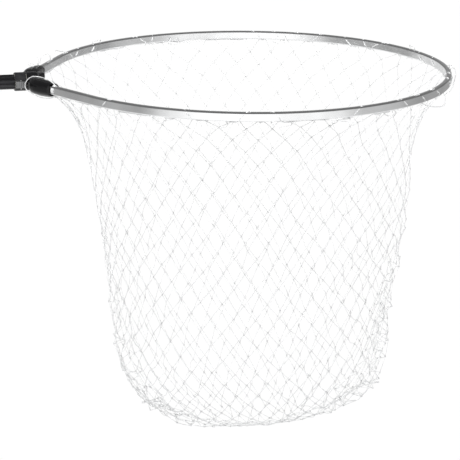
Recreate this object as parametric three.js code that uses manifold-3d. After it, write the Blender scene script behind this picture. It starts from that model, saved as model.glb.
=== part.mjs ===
// Landing net: a round hoop of flat-oval tube held in a black yoke, a knotted mesh bag laced
// under it, and a fluted handle that slides through the yoke's collar for storage.
// Millimetres, +Z up. The handle lies along X and the hoop lies in the plane z = 0.
// The origin is on the handle's axis, in the middle of the grip.
import * as THREE from 'three';
import { mergeVertices } from 'three/addons/utils/BufferGeometryUtils.js';
import Module from 'manifold-3d';

const wasm = await Module();
wasm.setup();

// ---------------------------------------------------------------- driving dimensions
const gap = 0.3;                     // clearance between pieces of one assembly
const hoopX = 778;                   // hoop centre, ahead of the grip's middle

const hoopRadius = 250;              // to the middle of the tube
const tubeHeight = 10.5;
const tubeThickness = 7.3;
const tubeWall = 1;
const armAngle = THREE.MathUtils.degToRad(29);   // where the round hoop turns straight
const tubeStart = 24;                // tube end, measured along the arm from its apex

const yokeHeight = 14.8;
const yokeEdgeShare = 0.7;           // height of the arms' edges, against their crown
const edgeRound = 4;                 // rounding of the arms' edges, up and down
const edgeReach = 2.8;               // how far that rounding reaches in
const innerWall = -251.5;            // the yoke's wall that faces the hoop's centre
const neckRadius = 11.4;
const neckBack = -279.2;
const neckFront = -266;
const mouth = 65;                    // where the tube leaves the yoke, along the arm
const screwAt = 47;                  // arm screws, along the arm
const screwRadius = 1.4;
const screwHoleRadius = 1.7;
const screwHeadRadius = 3.2;
const screwHeadHeight = 2;
const screwFloor = -6;               // floor of the screw's recess under the arm
const screwEnd = 5.4;                // top of the screw, above the hoop's plane

const collarBack = -293.5;
const collarFront = neckBack - gap;
const bushRadius = 10.2;
const barrelBore = bushRadius + 0.15;

const handleRadius = 9.2;            // over the ridges
const fluteDepth = 0.8;
const fluteCount = 10;
const handleBore = 7.9;
const handleLength = 600;
const handleFront = neckFront + 0.1;
const handleBack = handleFront - handleLength;
const stopRadius = 10.6;
const stopThickness = 2.5;
const spigotRadius = handleBore - gap;
const spigotLength = 20;

const gripLength = 172;
const gripRadius = 14.5;
const capRadius = 15.2;
const capThickness = 6;

const latchX = -286.5;               // pivot of the rocking latch
const latchY = -11.9;
const latchZ = -1.5;
const latchLength = 12.3;
const latchHeight = 8.5;
const latchThickness = 1.5;
const lugRadius = 1.35;
const windowGap = 0.35;

const lacingRadius = 1;
const lacingDrop = 7.4;              // middle of the lacing line, under the hoop's plane
const bagRim = 12;                   // rim of the bag, under the hoop's plane
const bagDepth = 468;
const bagWall = 1.6;
const tieRadius = 6;

// ---------------------------------------------------------------- materials
function finish(color, roughness, metalness) {
  return new THREE.MeshStandardMaterial({ color, roughness, metalness });
}
const aluminium = finish(0xc4c6c8, 0.3, 1);
const blackAnodised = finish(0x1b1b1d, 0.4, 0.7);
const yokePlastic = finish(0x0e0e10, 0.25, 0);
const collarPlastic = finish(0x1c1c1e, 0.5, 0);
const latchMetal = finish(0x8f9192, 0.35, 1);
const steel = finish(0xb4b6b8, 0.3, 1);
const bushPlastic = finish(0xd9d8d2, 0.5, 0);
const foam = finish(0x1e1e1f, 0.9, 0);
const rubber = finish(0x151515, 0.8, 0);
const netting = finish(0xdfe2e2, 0.35, 0);

// ---------------------------------------------------------------- solid helpers
function toSolid(geometry) {
  const bare = geometry.clone();
  bare.deleteAttribute('normal');
  bare.deleteAttribute('uv');
  const welded = mergeVertices(bare, 1e-4);
  const mesh = new wasm.Mesh({
    numProp: 3,
    vertProperties: new Float32Array(welded.attributes.position.array),
    triVerts: new Uint32Array(welded.index.array),
  });
  return new wasm.Manifold(mesh);
}

function toGeometry(solid) {
  const mesh = solid.getMesh();
  const geometry = new THREE.BufferGeometry();
  geometry.setAttribute('position', new THREE.BufferAttribute(mesh.vertProperties, 3));
  geometry.setIndex(new THREE.BufferAttribute(mesh.triVerts, 1));
  geometry.computeVertexNormals();
  return geometry;
}

function cut(body, ...tools) {
  return tools.reduce((rest, tool) => rest.subtract(tool), body);
}

// A cylinder along X, given by its two ends.
function rod(radius, x0, x1, sides = 36) {
  const geometry = new THREE.CylinderGeometry(radius, radius, x1 - x0, sides);
  geometry.rotateZ(-Math.PI / 2);
  geometry.translate((x0 + x1) / 2, 0, 0);
  return geometry;
}

// A cylinder along Z, given by its two ends.
function post(radius, x, y, z0, z1, sides = 20) {
  const geometry = new THREE.CylinderGeometry(radius, radius, z1 - z0, sides);
  geometry.rotateX(Math.PI / 2);
  geometry.translate(x, y, (z0 + z1) / 2);
  return geometry;
}

function box(x0, x1, y0, y1, z0, z1) {
  const geometry = new THREE.BoxGeometry(x1 - x0, y1 - y0, z1 - z0);
  geometry.translate((x0 + x1) / 2, (y0 + y1) / 2, (z0 + z1) / 2);
  return geometry;
}

// A ring profile, as [radius, distance along X] pairs, turned about the handle's axis.
function turned(profile, sides = 28) {
  const points = profile.map(([radius, x]) => new THREE.Vector2(radius, x));
  points.push(points[0].clone());
  const geometry = new THREE.LatheGeometry(points, sides);
  geometry.rotateZ(-Math.PI / 2);
  return geometry;
}

// A flat-oval outline: x is its height and y its thickness.
function flatOval(height, thickness, arcSteps = 6) {
  const r = thickness / 2;
  const straight = height / 2 - r;
  const points = [];
  for (const end of [1, -1]) {
    for (let i = 0; i <= arcSteps; i += 1) {
      const a = Math.PI * (i / arcSteps - 0.5);
      points.push(new THREE.Vector2(end * (straight + r * Math.cos(a)), end * r * Math.sin(a)));
    }
  }
  return points;
}

function circle(radius, sides) {
  const points = [];
  for (let i = 0; i < sides; i += 1) {
    const a = (2 * Math.PI * i) / sides;
    points.push(new THREE.Vector2(radius * Math.cos(a), radius * Math.sin(a)));
  }
  return points;
}

// The handle's fluted outline, ridges and grooves round a circle, grown by an allowance.
function flutedOutline(allowance) {
  const stepsPerFlute = 4;
  const count = fluteCount * stepsPerFlute;
  const points = [];
  for (let i = 0; i < count; i += 1) {
    const a = (2 * Math.PI * i) / count;
    const depth = fluteDepth * (0.5 + 0.5 * Math.cos(fluteCount * a));
    const r = handleRadius - depth + allowance;
    points.push(new THREE.Vector2(r * Math.sin(a), -r * Math.cos(a)));
  }
  return points;
}

// Extrudes an outline drawn in the Y-Z plane along X, from x0 to x1.
function alongX(shape, x0, x1) {
  const geometry = new THREE.ExtrudeGeometry(shape, { depth: x1 - x0, bevelEnabled: false });
  const turn = new THREE.Matrix4().makeBasis(
    new THREE.Vector3(0, 0, 1), new THREE.Vector3(0, 1, 0), new THREE.Vector3(-1, 0, 0));
  geometry.applyMatrix4(turn);
  geometry.translate(x1, 0, 0);
  return geometry;
}

// ---------------------------------------------------------------- hoop
// The two straight ends lie on lines that meet at an apex on the handle's axis.
const apexX = -hoopRadius / Math.cos(armAngle);
const tangentAt = hoopRadius * Math.tan(armAngle);

// side is 1 for the back arm (+Y) and -1 for the front arm (-Y).
function armPoint(along, side) {
  const x = apexX + along * Math.sin(armAngle);
  return new THREE.Vector3(x, side * along * Math.cos(armAngle), 0);
}

// A point beside the arm's line; inward is towards the hoop's centre.
function besideArm(along, inward, side) {
  const p = armPoint(along, side);
  p.x += inward * Math.cos(armAngle);
  p.y -= side * inward * Math.sin(armAngle);
  return p;
}

class HoopPath extends THREE.Curve {
  constructor(start, drop) {
    super();
    this.start = start;
    this.drop = drop;
    this.straight = tangentAt - start;
    this.sweep = 2 * Math.PI - 2 * armAngle;
    this.total = 2 * this.straight + hoopRadius * this.sweep;
  }

  getPoint(t, target = new THREE.Vector3()) {
    const d = t * this.total;
    if (d < this.straight) {
      target.copy(armPoint(this.start + d, -1));
    } else if (this.total - d < this.straight) {
      target.copy(armPoint(this.start + this.total - d, 1));
    } else {
      const a = Math.PI + armAngle + (d - this.straight) / hoopRadius;
      target.set(hoopRadius * Math.cos(a), hoopRadius * Math.sin(a), 0);
    }
    target.z = -this.drop;
    return target;
  }
}

function alongHoop(outline, holeOutline, start, drop, steps) {
  const shape = new THREE.Shape(outline);
  if (holeOutline) shape.holes.push(new THREE.Path(holeOutline));
  const path = new HoopPath(start, drop);
  path.arcLengthDivisions = 1200;
  return new THREE.ExtrudeGeometry(shape, { steps, bevelEnabled: false, extrudePath: path });
}

// A straight flat-oval bar along one arm.
function ovalBar(height, thickness, from, to, side) {
  const shape = new THREE.Shape(flatOval(height, thickness));
  const path = new THREE.LineCurve3(armPoint(from, side), armPoint(to, side));
  return new THREE.ExtrudeGeometry(shape, { steps: 1, bevelEnabled: false, extrudePath: path });
}

function screwHole(side) {
  const p = armPoint(screwAt, side);
  return toSolid(post(screwHoleRadius, p.x, p.y, -yokeHeight, screwEnd + gap));
}

function hoopTube() {
  const outer = flatOval(tubeHeight, tubeThickness);
  const inner = flatOval(tubeHeight - 2 * tubeWall, tubeThickness - 2 * tubeWall);
  const tube = toSolid(alongHoop(outer, inner, tubeStart, 0, 84));
  return toGeometry(cut(tube, screwHole(1), screwHole(-1)));
}

function tubePlug(side) {
  const height = tubeHeight - 2 * tubeWall - 2 * gap;
  const thickness = tubeThickness - 2 * tubeWall - 2 * gap;
  const bar = toSolid(ovalBar(height, thickness, tubeStart + 0.5, mouth - 2, side));
  return toGeometry(cut(bar, screwHole(side)));
}

// ---------------------------------------------------------------- yoke
// A round puck with well rounded edges, the building block of the yoke's pillowed arms.
function puck(center, radius, height) {
  const arcSteps = 4;
  const profile = [new THREE.Vector2(0, -height / 2)];
  for (const end of [-1, 1]) {
    for (let i = 0; i <= arcSteps; i += 1) {
      const a = (Math.PI / 2) * (end < 0 ? i / arcSteps - 1 : i / arcSteps);
      const r = radius - edgeReach * (1 - Math.cos(a));
      profile.push(new THREE.Vector2(r, end * (height / 2 - edgeRound) + edgeRound * Math.sin(a)));
    }
  }
  profile.push(new THREE.Vector2(0, height / 2));
  const geometry = new THREE.LatheGeometry(profile, 24);
  geometry.rotateX(Math.PI / 2);
  geometry.translate(center.x, center.y, 0);
  return toSolid(geometry);
}

// One arm: a pillow drawn tight over low pucks, along the tube's outer edge, at the mouth and
// along the inner wall, and over a tall crown above the tube.
function armBlock(side) {
  const slim = 5.7;
  const full = 6.2;
  const crown = 3.6;
  const low = yokeEdgeShare * yokeHeight;
  return wasm.Manifold.hull([
    puck({ x: neckBack + full + 0.2, y: side * 11 }, full, low),
    puck(besideArm(34, 0.4, side), full, low),
    puck(armPoint(mouth - slim, side), slim, low),
    puck(besideArm(mouth - 8, 2, side), slim, low),
    puck({ x: innerWall - full, y: side * 25 }, full, low),
    puck({ x: neckFront + 3, y: side * 18.5 }, full, low),
    puck({ x: neckFront - 4, y: side * 19 }, crown, yokeHeight),
    puck(armPoint(30, side), crown, yokeHeight),
    puck(armPoint(mouth - 8, side), crown, yokeHeight - 0.8),
  ]);
}

// A round scoop in the outer lip of the mouth, which shows the tube inside.
function mouthScoop(side) {
  const geometry = new THREE.CylinderGeometry(5, 5, 12, 20);
  const p = besideArm(mouth + 2.6, -7, side);
  const axis = new THREE.Vector3(Math.cos(armAngle), -side * Math.sin(armAngle), 0);
  geometry.applyQuaternion(
    new THREE.Quaternion().setFromUnitVectors(new THREE.Vector3(0, 1, 0), axis));
  geometry.translate(p.x, p.y, 0);
  return toSolid(geometry);
}

function yokeBody() {
  let body = toSolid(rod(neckRadius, neckBack, neckFront, 40));
  for (const side of [1, -1]) body = body.add(armBlock(side));
  body = cut(
    body,
    toSolid(rod(barrelBore, neckBack - 5, neckFront + 5, 40)),
    toSolid(rod(neckRadius - 0.1, neckFront, neckFront + 60, 40)),
  );
  for (const side of [1, -1]) {
    const socket = ovalBar(tubeHeight + 2 * gap, tubeThickness + 2 * gap,
      tubeStart - 0.5, mouth + 30, side);
    const p = armPoint(screwAt, side);
    const recess = post(screwHeadRadius + 0.4, p.x, p.y, -yokeHeight, screwFloor);
    body = cut(body, toSolid(socket), screwHole(side), toSolid(recess), mouthScoop(side));
  }
  return toGeometry(body);
}

function armScrew(side) {
  const p = armPoint(screwAt, side);
  const headTop = screwFloor - 0.2;
  const shank = toSolid(post(screwRadius, p.x, p.y, headTop - 0.5, screwEnd));
  const head = toSolid(post(screwHeadRadius, p.x, p.y, headTop - screwHeadHeight, headTop, 24));
  const slots = [0, Math.PI / 2].map((turn) => {
    const slot = new THREE.BoxGeometry(3.6, 0.8, 1.2);
    slot.rotateZ(turn);
    slot.translate(p.x, p.y, headTop - screwHeadHeight);
    return toSolid(slot);
  });
  return toGeometry(cut(shank.add(head), ...slots));
}

// ---------------------------------------------------------------- collar and latch
const toothX = latchX - 4;
const toothTip = -(handleRadius - gap);
const pinRadius = 0.7;
const pinHole = pinRadius + 0.15;
const bossHalf = 6;
const latchTop = latchY - latchThickness / 2 - 0.5;

function latchCollar() {
  const chamfer = 1.4;
  const profile = [
    [barrelBore, collarBack],
    [neckRadius - chamfer / 2, collarBack],
    [neckRadius, collarBack + chamfer],
    [neckRadius, collarFront],
    [barrelBore, collarFront],
  ];
  const shell = toSolid(turned(profile, 40));
  const boss = toSolid(box(collarBack + 0.5, collarFront, latchTop + 0.3, -6,
    latchZ - bossHalf, latchZ + bossHalf));
  const halfWindow = latchLength / 2 + windowGap;
  const halfHeight = latchHeight / 2 + windowGap;
  return toGeometry(cut(
    shell.add(boss),
    toSolid(rod(barrelBore, collarBack - 5, collarFront + 5, 40)),
    toSolid(box(latchX - halfWindow, latchX + halfWindow, -20, -5,
      latchZ - halfHeight, latchZ + halfHeight)),
    toSolid(post(pinHole, latchX, latchY, latchZ - 10, latchZ + 10, 16)),
  ));
}

function latchLever() {
  const half = latchLength / 2;
  const tall = latchHeight / 2;
  const plate = toSolid(box(latchX - half, latchX + half, latchTop, latchTop + latchThickness,
    latchZ - tall, latchZ + tall));
  const lug = toSolid(post(lugRadius, latchX, latchY, latchZ - tall, latchZ + tall, 20));
  const tooth = toSolid(box(toothX - 0.8, toothX + 0.8, latchTop + 0.5, toothTip, -1, 1));
  const bore = toSolid(post(pinHole, latchX, latchY, latchZ - 10, latchZ + 10, 16));
  return toGeometry(plate.add(lug).add(tooth).subtract(bore));
}

function latchPin() {
  return post(pinRadius, latchX, latchY, latchZ - bossHalf + 0.2, latchZ + bossHalf - 0.2, 16);
}

// A flat strip of spring steel between the bush and the pressed end of the lever.
function latchSpring() {
  return box(latchX + 1.6, latchX + latchLength / 2 - 0.4, -10.7, -10.4, latchZ - 3, latchZ + 1.5);
}

function collarBush() {
  const shape = new THREE.Shape(circle(bushRadius, 80));
  shape.holes.push(new THREE.Path(flutedOutline(gap)));
  const ring = toSolid(alongX(shape, collarBack + gap, neckFront - gap));
  const toothWindow = box(toothX - 1.5, toothX + 1.5, -12, -5, -1.8, 1.8);
  return toGeometry(cut(ring, toSolid(toothWindow)));
}

// ---------------------------------------------------------------- handle
function handleTube() {
  const shape = new THREE.Shape(flutedOutline(0));
  shape.holes.push(new THREE.Path(circle(handleBore, 24)));
  return alongX(shape, handleBack, handleFront);
}

function frontStop() {
  const back = handleFront + gap;
  const edge = 0.8;
  return turned([
    [0, back - spigotLength],
    [spigotRadius, back - spigotLength],
    [spigotRadius, back],
    [stopRadius, back],
    [stopRadius, back + stopThickness - edge],
    [stopRadius - edge, back + stopThickness],
    [0, back + stopThickness],
  ]);
}

function handleGrip() {
  const inner = handleRadius + gap;
  const back = handleBack + gap;
  const front = back + gripLength;
  const waist = 1.2;
  const edge = 2.5;
  const outline = [[inner, back], [gripRadius - edge / 2, back], [gripRadius, back + edge]];
  const steps = 8;
  for (let i = 1; i < steps; i += 1) {
    const t = i / steps;
    const x = back + edge + t * (gripLength - 12);
    outline.push([gripRadius - waist * Math.sin(Math.PI * t) ** 2, x]);
  }
  outline.push([gripRadius - 0.6, front - 7], [inner + 1.4, front], [inner, front]);
  return turned(outline, 28);
}

function buttCap() {
  const front = handleBack - gap;
  const back = front - capThickness;
  const edge = 2;
  return turned([
    [0, back],
    [capRadius - edge, back],
    [capRadius, back + edge],
    [capRadius, front],
    [spigotRadius, front],
    [spigotRadius, front + spigotLength],
    [0, front + spigotLength],
  ]);
}

// ---------------------------------------------------------------- net
// Outer outline of the bag, as radius and drop under the hoop's plane.
const bagCurve = new THREE.SplineCurve([
  new THREE.Vector2(247, bagRim),
  new THREE.Vector2(214, 70),
  new THREE.Vector2(203, 140),
  new THREE.Vector2(193, 226),
  new THREE.Vector2(184, 325),
  new THREE.Vector2(164, 392),
  new THREE.Vector2(112, 445),
  new THREE.Vector2(0, bagDepth),
]);

// An open-topped cup of even wall, standing for the knotted mesh.
function netBag() {
  const outer = bagCurve.getSpacedPoints(13);
  outer[outer.length - 1].x = 0;
  const inner = outer.map((p, i) => {
    const before = outer[Math.max(i - 1, 0)];
    const after = outer[Math.min(i + 1, outer.length - 1)];
    const along = after.clone().sub(before).normalize();
    return new THREE.Vector2(p.x - along.y * bagWall, p.y + along.x * bagWall);
  });
  inner[0].y = bagRim;
  inner[inner.length - 1].set(0, outer[outer.length - 1].y - bagWall);
  const profile = [...outer.reverse(), ...inner].map((p) => new THREE.Vector2(p.x, -p.y));
  const geometry = new THREE.LatheGeometry(profile, 44);
  geometry.rotateX(Math.PI / 2);
  return geometry;
}

function netLacing() {
  return alongHoop(circle(lacingRadius, 6), null, mouth + 8, lacingDrop, 64);
}

// The knot under the bag's gathered bottom, half as tall as it is wide.
function bottomTie() {
  const geometry = new THREE.SphereGeometry(tieRadius, 16, 10);
  geometry.scale(1, 1, 0.5);
  geometry.translate(0, 0, -(bagDepth + tieRadius / 2 + gap));
  return geometry;
}

// ---------------------------------------------------------------- assembly
const net = new THREE.Group();
const head = new THREE.Group();
const handle = new THREE.Group();
net.add(head, handle);
net.position.x = hoopX;

function place(group, name, geometry, material) {
  const mesh = new THREE.Mesh(geometry, material);
  mesh.name = name;
  group.add(mesh);
}

place(head, 'hoop_tube', hoopTube(), aluminium);
place(head, 'front_tube_plug', tubePlug(-1), bushPlastic);
place(head, 'back_tube_plug', tubePlug(1), bushPlastic);
place(head, 'yoke_body', yokeBody(), yokePlastic);
place(head, 'front_arm_screw', armScrew(-1), steel);
place(head, 'back_arm_screw', armScrew(1), steel);
place(head, 'latch_collar', latchCollar(), collarPlastic);
place(head, 'collar_bush', collarBush(), bushPlastic);
place(head, 'latch_lever', latchLever(), latchMetal);
place(head, 'latch_pivot_pin', latchPin(), steel);
place(head, 'latch_spring', latchSpring(), steel);
place(head, 'net_lacing', netLacing(), netting);
place(head, 'net_bag', netBag(), netting);
place(head, 'bottom_tie', bottomTie(), netting);
place(handle, 'handle_tube', handleTube(), blackAnodised);
place(handle, 'handle_front_stop', frontStop(), collarPlastic);
place(handle, 'handle_grip', handleGrip(), foam);
place(handle, 'butt_cap', buttCap(), rubber);

export default net;
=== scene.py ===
"""Looks of the landing net: aluminium hoop in a black yoke, knotted clear netting, fluted handle.
Metres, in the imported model's frame: the handle lies along X and the hoop in the plane z = 0."""

import math

import bmesh
import bpy
import numpy as np
from mathutils import Matrix, Vector, noise


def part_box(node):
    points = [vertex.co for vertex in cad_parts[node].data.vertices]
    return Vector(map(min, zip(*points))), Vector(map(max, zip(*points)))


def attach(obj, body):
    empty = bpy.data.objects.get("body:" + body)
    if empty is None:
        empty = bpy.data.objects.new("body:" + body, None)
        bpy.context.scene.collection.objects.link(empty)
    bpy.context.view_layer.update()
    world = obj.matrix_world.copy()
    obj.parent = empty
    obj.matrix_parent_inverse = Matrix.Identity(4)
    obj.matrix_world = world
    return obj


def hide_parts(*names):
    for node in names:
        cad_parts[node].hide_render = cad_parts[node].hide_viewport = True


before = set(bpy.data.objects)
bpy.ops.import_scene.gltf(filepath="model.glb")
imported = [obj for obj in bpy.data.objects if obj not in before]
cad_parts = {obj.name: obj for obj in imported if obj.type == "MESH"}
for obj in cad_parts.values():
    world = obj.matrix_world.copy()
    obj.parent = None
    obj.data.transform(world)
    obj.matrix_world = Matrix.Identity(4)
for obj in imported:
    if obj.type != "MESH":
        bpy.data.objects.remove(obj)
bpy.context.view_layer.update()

MM = 0.001
SEED = 20

# ---------------------------------------------------------------- places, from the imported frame
TUBE_THICKNESS = 7.3 * MM
TUBE_HEIGHT = 10.5 * MM
TUBE_CORNER = 1.6 * MM
TUBE_WALL = 1.0 * MM
TUBE_GIRTH = 32 * MM  # for the scale of its surface
LEAST_CORNER = 0.6 * MM  # of the tube's bore
hoop_low, hoop_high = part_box("hoop_tube")
HOOP_RADIUS = (hoop_high.y - hoop_low.y - TUBE_THICKNESS) / 2
HOOP_X = hoop_high.x - TUBE_THICKNESS / 2 - HOOP_RADIUS
ARM_ANGLE = math.radians(29)  # where the round hoop turns straight, either side of the yoke
APEX_X = -HOOP_RADIUS / math.cos(ARM_ANGLE)
TUBE_START = 24 * MM  # tube end inside the arm, measured along the arm from its apex
TANGENT_AT = HOOP_RADIUS * math.tan(ARM_ANGLE)
MOUTH = 65 * MM  # where the tube leaves the yoke
BAG_TURN = math.radians(14.2)  # the bag's long axis, against the handle's


# ---------------------------------------------------------------- mesh helpers
def mesh_object(name, verts, faces, material=None, uv=None):
    mesh = bpy.data.meshes.new(name)
    mesh.from_pydata(np.asarray(verts, float).reshape(-1, 3).tolist(), [], faces)
    mesh.update()
    if uv is not None:
        layer = mesh.uv_layers.new(name="UVMap")
        layer.data.foreach_set("uv", np.asarray(uv, np.float32).ravel())
    mesh.shade_smooth()
    piece = bpy.data.objects.new(name, mesh)
    bpy.context.scene.collection.objects.link(piece)
    if material:
        mesh.materials.append(material)
    return piece


def unit(v):
    return v / np.maximum(np.linalg.norm(v, axis=-1, keepdims=True), 1e-12)


def ease(x):
    x = np.clip(x, 0, 1)
    return x * x * (3 - 2 * x)


def spline_weights(points_in, points_out):
    """Rows that turn control points into points on a smooth curve through them."""
    weights = np.zeros((points_out, points_in))
    for row, t in enumerate(np.linspace(0, points_in - 1, points_out)):
        i = min(int(t), points_in - 2)
        f = t - i
        basis = (
            -0.5 * f + f * f - 0.5 * f**3,
            1 - 2.5 * f * f + 1.5 * f**3,
            0.5 * f + 2 * f * f - 1.5 * f**3,
            -0.5 * f * f + 0.5 * f**3,
        )
        for offset, value in zip((-1, 0, 1, 2), basis):
            k = i + offset
            if k < 0:
                weights[row, 0] += 2 * value
                weights[row, 1] -= value
            elif k >= points_in:
                weights[row, -1] += 2 * value
                weights[row, -2] -= value
            else:
                weights[row, k] += value
    return weights


def sweep(lines, radius, sides):
    """Round strands along lines, an array of (strand, point, xyz), with closed ends.
    Returns vertices and quads."""
    lines = np.asarray(lines, float)
    count, points, _ = lines.shape
    tangent = unit(np.gradient(lines, axis=1))
    start = np.where(np.abs(tangent[:, :1, 2:]) < 0.9, [[[0.0, 0.0, 1.0]]], [[[1.0, 0.0, 0.0]]])
    normal = np.empty_like(lines)
    side = unit(np.cross(tangent[:, 0], start[:, 0]))
    for k in range(points):
        side = unit(side - tangent[:, k] * np.sum(side * tangent[:, k], -1, keepdims=True))
        normal[:, k] = side
    binormal = np.cross(tangent, normal)
    angle = 2 * np.pi * np.arange(sides) / sides
    ring = (
        normal[:, :, None] * np.cos(angle)[:, None] + binormal[:, :, None] * np.sin(angle)[:, None]
    )
    radius = np.broadcast_to(np.asarray(radius, float), (count, points))
    verts = (lines[:, :, None] + ring * radius[:, :, None, None]).reshape(-1, 3)
    base = np.arange(count * points * sides).reshape(count, points, sides)
    after = np.roll(base, -1, axis=2)
    quads = np.stack([base[:, :-1], after[:, :-1], after[:, 1:], base[:, 1:]], -1).reshape(-1, 4)
    faces = quads.tolist()
    for strand in range(count):
        faces.append(base[strand, 0, ::-1].tolist())
        faces.append(base[strand, -1].tolist())
    return verts, faces


def join_parts(parts):
    """Several (vertices, faces) as one."""
    verts, faces, base = [], [], 0
    for part_verts, part_faces in parts:
        verts.append(np.asarray(part_verts, float).reshape(-1, 3))
        faces.extend([[i + base for i in face] for face in part_faces])
        base += len(verts[-1])
    return np.concatenate(verts), faces


def smooth_curve(points, per_span):
    """A denser line through the given points."""
    points = np.asarray(points, float)
    return spline_weights(len(points), (len(points) - 1) * per_span + 1) @ points


def turned(name, profile, material, sides=72, ripple=None):
    """A closed profile of (x, radius) pairs turned about the handle's axis.
    ripple(x, angle) scales the radius."""
    profile = np.asarray(profile, float)
    angle = 2 * np.pi * np.arange(sides) / sides
    verts, rings = [], []
    for x, r in profile:
        if r < 1e-9:
            rings.append([len(verts)])
            verts.append((x, 0, 0))
            continue
        rings.append(list(range(len(verts), len(verts) + sides)))
        for a in angle:
            scaled = r * (ripple(x, a) if ripple else 1)
            verts.append((x, -scaled * math.cos(a), scaled * math.sin(a)))
    faces = []
    pairs = list(zip(rings, rings[1:]))
    if len(rings[0]) > 1 and len(rings[-1]) > 1:
        pairs.append((rings[-1], rings[0]))
    for low, high in pairs:
        for i in range(sides):
            j = (i + 1) % sides
            if len(low) == 1 and len(high) == 1:
                continue
            if len(low) == 1:
                faces.append([low[0], high[j], high[i]])
            elif len(high) == 1:
                faces.append([low[i], low[j], high[0]])
            else:
                faces.append([low[i], low[j], high[j], high[i]])
    piece = mesh_object(name, verts, faces, material)
    outward(piece)
    return piece


def outward(piece):
    """Points every face out."""
    bm = bmesh.new()
    bm.from_mesh(piece.data)
    bmesh.ops.recalc_face_normals(bm, faces=bm.faces)
    bm.to_mesh(piece.data)
    bm.free()


def rounded_profile(points, radius):
    """The same closed outline with its corners rounded; a point may carry its own radius."""
    shares = np.linspace(0, 1, 5)
    rounded = []
    count = len(points)
    for i, point in enumerate(points):
        here = np.array(point[:2], float)
        before = np.array(points[i - 1][:2], float)
        after = np.array(points[(i + 1) % count][:2], float)
        shorter = min(np.linalg.norm(before - here), np.linalg.norm(after - here))
        reach = min(point[2] if len(point) > 2 else radius, 0.45 * shorter)
        if reach < 1e-6:
            rounded.append(tuple(here))
            continue
        start = here + unit(before - here) * reach
        end = here + unit(after - here) * reach
        for t in shares:
            rounded.append(tuple((1 - t) ** 2 * start + 2 * t * (1 - t) * here + t * t * end))
    return rounded


def baked(piece, kind, **settings):
    """Applies one modifier of the given kind."""
    modifier = piece.modifiers.new(kind, kind)
    for key, value in settings.items():
        setattr(modifier, key, value)
    depsgraph = bpy.context.evaluated_depsgraph_get()
    mesh = bpy.data.meshes.new_from_object(piece.evaluated_get(depsgraph))
    piece.modifiers.clear()
    piece.data = mesh


def vertex_array(mesh):
    flat = np.empty(3 * len(mesh.vertices), np.float32)
    mesh.vertices.foreach_get("co", flat)
    return flat.reshape(-1, 3).astype(float)


def moulded_copy(node, name, voxel, material, smoothing, shape=None, carve=None):
    """A fine copy of a CAD node with softly rounded edges, as a moulding has. shape(mesh) may
    change or add to the copy first, and carve(points) may move the fine copy's vertices."""
    piece = bpy.data.objects.new(name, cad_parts[node].data.copy())
    bpy.context.scene.collection.objects.link(piece)
    piece.data.materials.clear()
    bm = bmesh.new()
    bm.from_mesh(piece.data)
    bmesh.ops.remove_doubles(bm, verts=bm.verts, dist=1e-6)
    bm.to_mesh(piece.data)
    bm.free()
    if shape:
        shape(piece.data)
    baked(piece, "REMESH", mode="VOXEL", voxel_size=voxel, use_smooth_shade=True)
    if carve:
        points = carve(vertex_array(piece.data))
        piece.data.vertices.foreach_set("co", points.astype(np.float32).ravel())
    baked(piece, "SMOOTH", factor=0.5, iterations=smoothing)
    piece.data.name = name
    piece.data.shade_smooth()
    piece.data.materials.clear()
    piece.data.materials.append(material)
    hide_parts(node)
    return piece


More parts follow.
